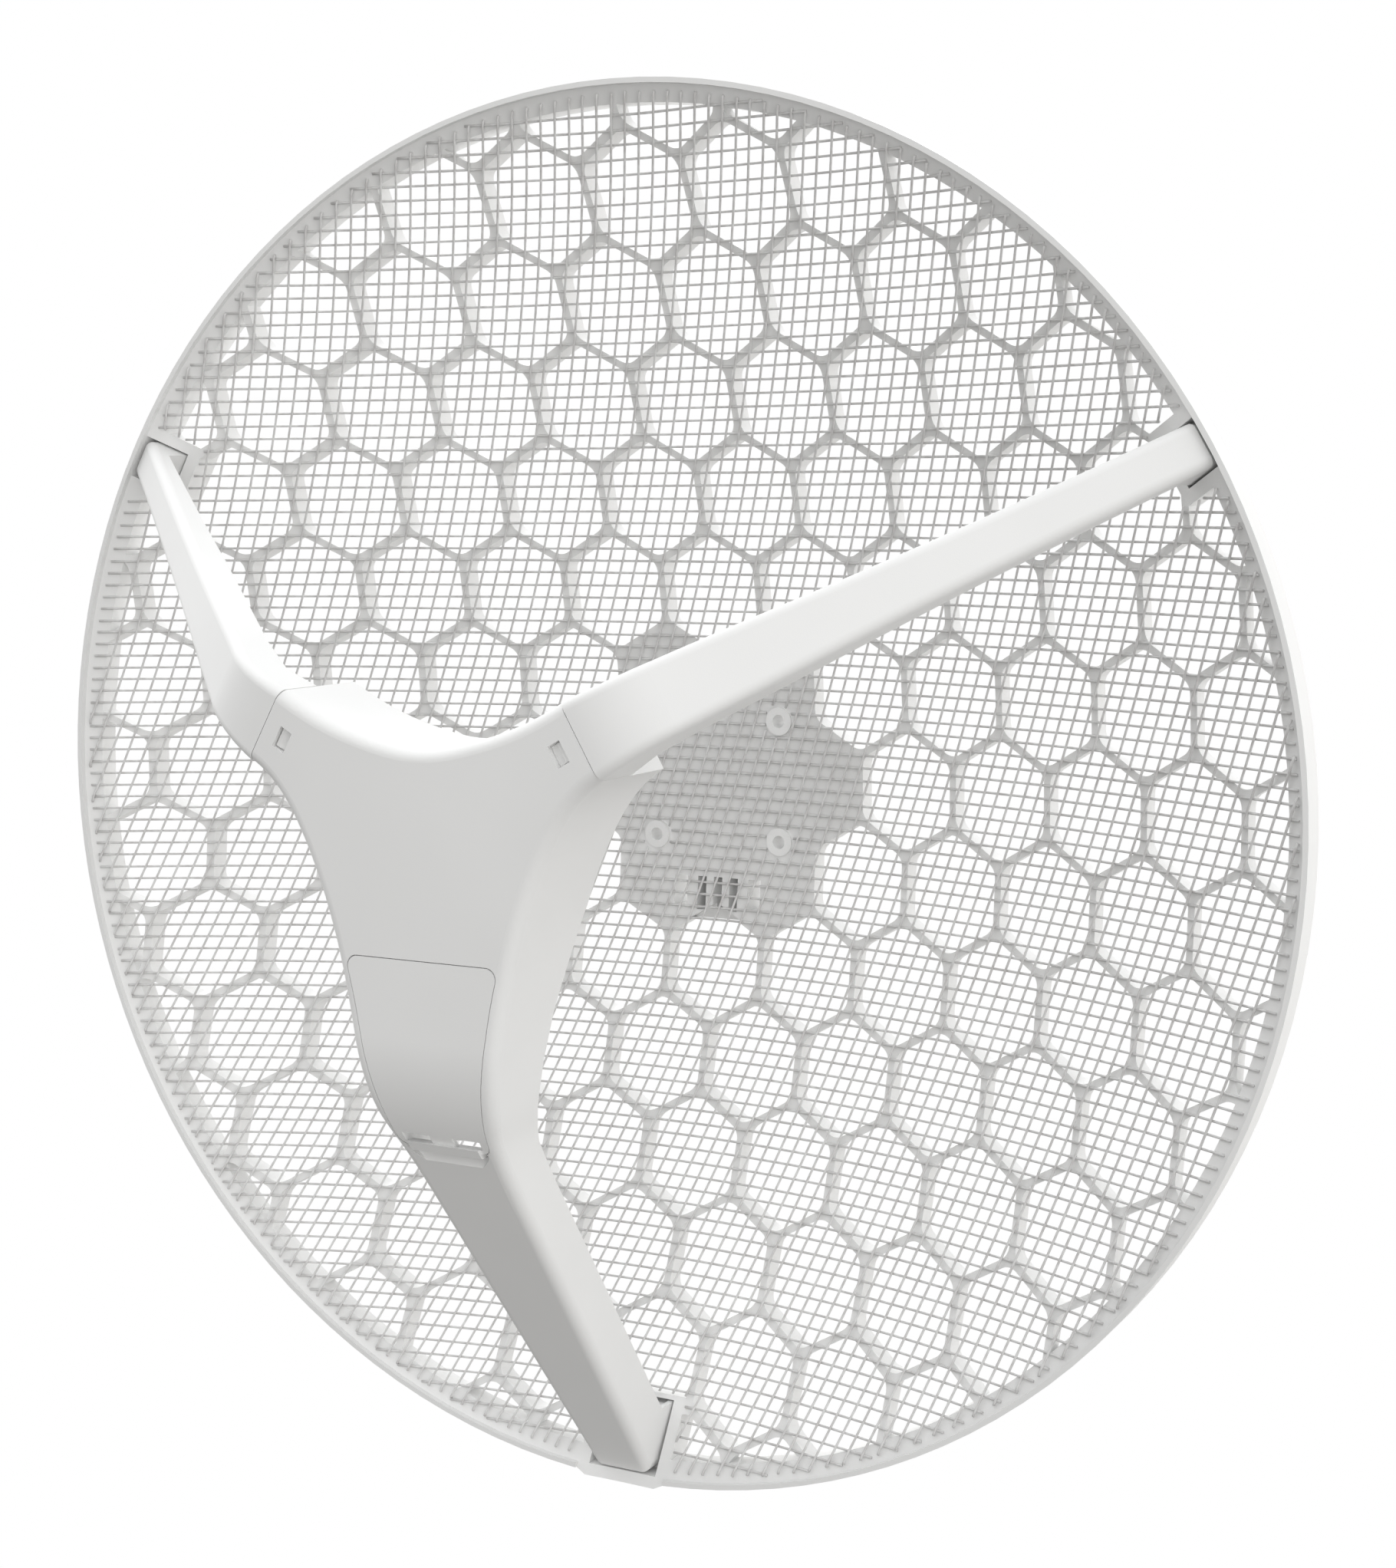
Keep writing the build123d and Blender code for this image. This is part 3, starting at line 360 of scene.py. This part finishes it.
def round_wires(name, node, degrees, bent, materials):
    """Round wires in place of a layer of the mesh."""
    draw = random.Random(SEED + int(degrees))
    direction = radians(degrees)
    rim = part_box("rim_ring")[1].x
    vertices = []
    faces = []
    for level, start, end, lift in wire_spans(node, direction):
        path = wire_path(level, start, end, lift, direction, draw)
        if bent and hypot(level, end) > rim - RIM_ZONE:
            path = bend_down(path, draw)
        if bent and hypot(level, start) > rim - RIM_ZONE:
            path = bend_down(path[::-1], draw)
        first = len(vertices)
        ring, sides = tube(path, WIRE_R, WIRE_SIDES)
        vertices.extend(ring)
        faces.extend([tuple(corner + first for corner in face) for face in sides])
    piece = new_piece(name, vertices, faces, materials["coated_wire"], "reflector")
    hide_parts(node)
    return piece


# ---------------------------------------------------------------- stage

def make_camera():
    """The camera, before the open side of the bowl, off towards +X and a little above it."""
    data = bpy.data.cameras.new("camera")
    data.lens = LENS_MM
    data.sensor_width = SENSOR_MM
    data.clip_end = FAR_CLIP
    camera = bpy.data.objects.new("camera", data)
    bpy.context.scene.collection.objects.link(camera)
    pan = Matrix.Rotation(radians(CAMERA_AZIMUTH), 4, "Z")
    pitch = Matrix.Rotation(radians(90 - CAMERA_ELEVATION), 4, "X")
    roll = Matrix.Rotation(radians(CAMERA_ROLL), 4, "Z")
    camera.matrix_world = Matrix.Translation(CAMERA_AT) @ (pan @ pitch) @ roll
    bpy.context.scene.camera = camera


def make_world():
    """A white backdrop, and light from the soft boxes for all that the camera sees in it."""
    world = bpy.data.worlds.new("studio")
    bpy.context.scene.world = world
    world.use_nodes = True
    tree = world.node_tree
    tree.nodes.clear()

    def add(kind, operation=None, **inputs):
        node = tree.nodes.new(kind)
        if operation:
            node.operation = operation
        for name, value in inputs.items():
            node.inputs[name].default_value = value
        return node

    def math(operation, first, value):
        node = add("ShaderNodeMath", operation)
        tree.links.new(first, node.inputs[0])
        if isinstance(value, float):
            node.inputs[1].default_value = value
        else:
            tree.links.new(value, node.inputs[1])
        return node.outputs[0]

    seen_from = add("ShaderNodeTexCoord").outputs["Generated"]
    total = None
    for direction, strength in SOFT_BOXES:
        facing = add("ShaderNodeVectorMath", "DOT_PRODUCT")
        facing.inputs[1].default_value = Vector(direction).normalized()
        tree.links.new(seen_from, facing.inputs[0])
        glow = math("POWER", math("MAXIMUM", facing.outputs["Value"], 0.0), LOBE_POWER)
        glow = math("MULTIPLY", glow, strength)
        total = math("ADD", glow, total) if total else glow
    split = add("ShaderNodeSeparateXYZ")
    tree.links.new(seen_from, split.inputs[0])
    tint = add("ShaderNodeValToRGB")
    tint.color_ramp.elements[0].color = (*WARM, 1.0)
    tint.color_ramp.elements[1].color = (*COOL, 1.0)
    tree.links.new(math("ADD", math("MULTIPLY", split.outputs["Z"], 0.5), 0.5), tint.inputs["Fac"])
    light = add("ShaderNodeBackground")
    tree.links.new(tint.outputs["Color"], light.inputs["Color"])
    tree.links.new(total, light.inputs["Strength"])
    backdrop = add("ShaderNodeBackground", Color=WHITE)
    mix = add("ShaderNodeMixShader")
    tree.links.new(add("ShaderNodeLightPath").outputs["Is Camera Ray"], mix.inputs["Fac"])
    tree.links.new(light.outputs[0], mix.inputs[1])
    tree.links.new(backdrop.outputs[0], mix.inputs[2])
    tree.links.new(mix.outputs[0], add("ShaderNodeOutputWorld").inputs["Surface"])


def floor_material():
    """Matt grey paint that the camera sees as the white of the backdrop."""
    m = Nodes("floor")
    paint = m.ramp(m.noise(0.4), 0.2, 0.8, (0.52, 0.51, 0.50), (0.55, 0.54, 0.53))
    m.link(paint, m.shader.inputs["Base Color"])
    m.set(Roughness=0.9)
    glow = m.add("ShaderNodeEmission")
    glow.inputs["Color"].default_value = WHITE
    seen = m.add("ShaderNodeLightPath")
    mix = m.add("ShaderNodeMixShader")
    output = m.tree.nodes["Material Output"]
    m.link(seen.outputs["Is Camera Ray"], mix.inputs["Fac"])
    m.link(m.shader.outputs[0], mix.inputs[1])
    m.link(glow.outputs[0], mix.inputs[2])
    m.link(mix.outputs[0], output.inputs["Surface"])
    return m.material


def make_floor():
    """A square floor well below the dish, which neither shades nor tints it."""
    half = FLOOR_SIZE / 2
    level = cad_box[0][2] - FLOOR_DROP
    corners = [(-half, -half, level), (half, -half, level), (half, half, level), (-half, half, level)]
    data = bpy.data.meshes.new("floor")
    data.from_pydata(corners, [], [(0, 1, 2, 3)])
    data.materials.append(floor_material())
    floor = bpy.data.objects.new("floor", data)
    bpy.context.scene.collection.objects.link(floor)
    floor.visible_diffuse = False
    floor.visible_glossy = False
    floor.visible_shadow = False


materials = make_materials()
dress_nodes(materials)
round_wires("round_level_wires", "mesh_level_wires", LEVEL_DIRECTION, False, materials)
round_wires("round_slanted_wires", "mesh_slanted_wires", SLANT_DIRECTION, True, materials)
make_camera()
make_world()
make_floor()
bpy.context.scene.view_settings.view_transform = "Standard"
